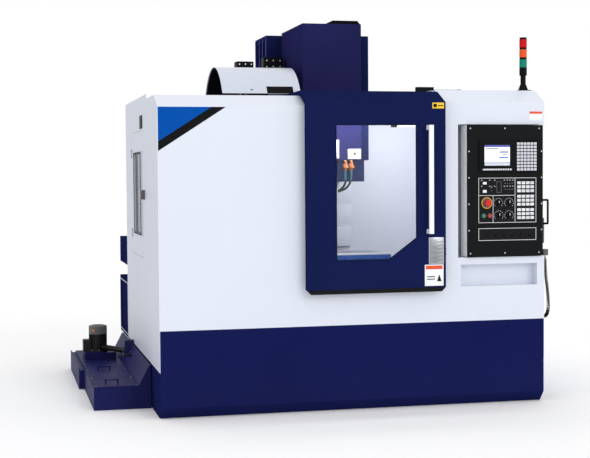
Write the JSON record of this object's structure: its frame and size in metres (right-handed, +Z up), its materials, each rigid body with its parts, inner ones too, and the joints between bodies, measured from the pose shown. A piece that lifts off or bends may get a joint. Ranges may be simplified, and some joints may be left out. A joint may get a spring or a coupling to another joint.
{
  "type": "vertical machining centre",
  "caption": "Enclosed vertical machining centre with a sliding door, swinging control box, moving table, saddle and head, tool magazine, changer arm, coolant tank and signal tower.",
  "frame": {"origin": "on the floor under the middle of the whole machine, the handwheel's cord left out", "axes": "+X to the right of someone standing at the door, +Y towards the rear, +Z up"},
  "size_m": [3.085, 2.72, 2.616],
  "materials": {
    "white": "satin",
    "grey_white": "satin",
    "navy": "satin",
    "violet": "satin",
    "black": "satin",
    "iron": "machined",
    "steel": "ground",
    "chrome": "polished",
    "rubber": "matt",
    "glass": "clear",
    "screen": "glossy",
    "plastic_grey": "matt",
    "plastic_black": "matt",
    "plastic_white": "matt",
    "red": "glossy",
    "green": "glossy",
    "yellow": "glossy",
    "teal": "glossy"
  },
  "bodies": {
    "enclosure": {"base_skirt": "navy", "front_panel_left": "white", "front_panel_right": "white", "side_panel_left": "grey_white", "side_panel_right": "grey_white", "inner_walls": "grey_white", "door_rail": "steel", "hatch_interlock": "black", "base_casting": "iron", "levelling_feet": "steel", "column": "violet", "guide_rails": "steel", "servo_motors": "black", "magazine_shroud": "grey_white", "magazine_bracket": "navy", "toolchange_gearbox": "navy", "coolant_tank": "navy", "tank_lids": "steel", "coolant_pump": "black", "coolant_pipe": "rubber", "rear_boxes": "navy", "tower_stand": "plastic_grey", "tower_lenses": "red", "roof_cable": "rubber", "work_light": "plastic_black"},
    "door": {"door_shell": "navy", "door_glass": "glass", "door_handle": "navy", "door_wiper": "rubber"},
    "hatch": {"hatch_panel": "grey_white", "hatch_glass": "glass"},
    "control": {"control_box": "black", "display_unit": "plastic_grey", "display_screen": "screen", "panel_keys": "plastic_white", "operator_panels": "plastic_grey", "button_collars": "yellow", "panel_screws": "steel", "box_handle": "chrome", "handwheel_unit": "plastic_grey", "handwheel_cord": "rubber"},
    "estop": {"emergency_stop": "red"},
    "start": {"start_button": "green"},
    "stop": {"stop_button": "red"},
    "mode": {"mode_knob": "plastic_black"},
    "feed": {"feed_knob": "plastic_black"},
    "rapid": {"rapid_knob": "plastic_black"},
    "speed": {"speed_knob": "plastic_black"},
    "wheel": {"handwheel_dial": "plastic_black"},
    "head": {"head_casting": "violet", "head_cover": "violet", "coolant_nozzles": "teal"},
    "spindle_shaft": {"spindle": "steel"},
    "saddle_body": {"saddle": "iron"},
    "table_body": {"table": "steel"},
    "screw_x": {"x_screw": "steel"},
    "screw_y": {"y_screw": "steel"},
    "screw_z": {"z_screw": "steel"},
    "drum": {"tool_drum": "iron"},
    "arm": {"toolchange_arm": "steel"}
  },
  "joints": [
    {"name": "door_slide", "type": "slide", "parent": "enclosure", "child": "door", "axis": [-1, 0, 0], "range_m": [0, 0.9]},
    {"name": "hatch_swing", "type": "hinge", "parent": "enclosure", "child": "hatch", "pos_m": [-1.1275, 0.279, 1.415], "axis": [0, 0, -1], "range_deg": [0, 100]},
    {"name": "control_swing", "type": "hinge", "parent": "enclosure", "child": "control", "pos_m": [0.9675, -1.1865, 1.425], "axis": [0, 0, -1], "range_deg": [0, 90]},
    {"name": "estop_push", "type": "slide", "parent": "control", "child": "estop", "axis": [0, 1, 0], "range_m": [0, 0.006]},
    {"name": "start_push", "type": "slide", "parent": "control", "child": "start", "axis": [0, 1, 0], "range_m": [0, 0.004], "stiffness_N_per_m": 600, "springref_m": -0.001},
    {"name": "stop_push", "type": "slide", "parent": "control", "child": "stop", "axis": [0, 1, 0], "range_m": [0, 0.004], "stiffness_N_per_m": 600, "springref_m": -0.001},
    {"name": "mode_turn", "type": "hinge", "parent": "control", "child": "mode", "pos_m": [1.1385, -1.26, 1.344], "axis": [0, 1, 0], "range_deg": [-120, 120]},
    {"name": "feed_turn", "type": "hinge", "parent": "control", "child": "feed", "pos_m": [1.2145, -1.26, 1.344], "axis": [0, 1, 0], "range_deg": [-135, 135]},
    {"name": "rapid_turn", "type": "hinge", "parent": "control", "child": "rapid", "pos_m": [1.1425, -1.26, 1.261], "axis": [0, 1, 0], "range_deg": [-45, 45]},
    {"name": "speed_turn", "type": "hinge", "parent": "control", "child": "speed", "pos_m": [1.2145, -1.26, 1.261], "axis": [0, 1, 0], "range_deg": [-90, 90]},
    {"name": "wheel_turn", "type": "hinge", "parent": "control", "child": "wheel", "pos_m": [1.5355, -1.068, 1.17], "axis": [1, 0, 0], "continuous": true},
    {"name": "head_z", "type": "slide", "parent": "enclosure", "child": "head", "axis": [0, 0, 1], "range_m": [-0.36, 0.15]},
    {"name": "spindle_spin", "type": "hinge", "parent": "head", "child": "spindle_shaft", "pos_m": [0.1955, -0.36, 1.5], "axis": [0, 0, 1], "continuous": true},
    {"name": "saddle_y", "type": "slide", "parent": "enclosure", "child": "saddle_body", "axis": [0, 1, 0], "range_m": [-0.25, 0.25]},
    {"name": "table_x", "type": "slide", "parent": "saddle_body", "child": "table_body", "axis": [1, 0, 0], "range_m": [-0.324, 0.526]},
    {"name": "x_screw_spin", "type": "hinge", "parent": "saddle_body", "child": "screw_x", "pos_m": [0.1955, -0.36, 0.807], "axis": [1, 0, 0], "range_deg": [-12000, 19200]},
    {"name": "y_screw_spin", "type": "hinge", "parent": "enclosure", "child": "screw_y", "pos_m": [0.1955, -0.43, 0.632], "axis": [0, 1, 0], "range_deg": [-9200, 9200]},
    {"name": "z_screw_spin", "type": "hinge", "parent": "enclosure", "child": "screw_z", "pos_m": [0.1955, 0.21, 1.7], "axis": [0, 0, 1], "range_deg": [-13200, 5600]},
    {"name": "drum_turn", "type": "hinge", "parent": "enclosure", "child": "drum", "pos_m": [-0.2925, -0.36, 1.864], "axis": [1, 0, 0], "continuous": true},
    {"name": "arm_turn", "type": "hinge", "parent": "enclosure", "child": "arm", "pos_m": [-0.1225, -0.36, 1.42], "axis": [0, 0, -1], "range_deg": [0, 180]}
  ],
  "couplings": [
    {"joint": "x_screw_spin", "follows": "table_x", "rad_per_m": 628.32},
    {"joint": "y_screw_spin", "follows": "saddle_y", "rad_per_m": 628.32},
    {"joint": "z_screw_spin", "follows": "head_z", "rad_per_m": 628.32}
  ]
}
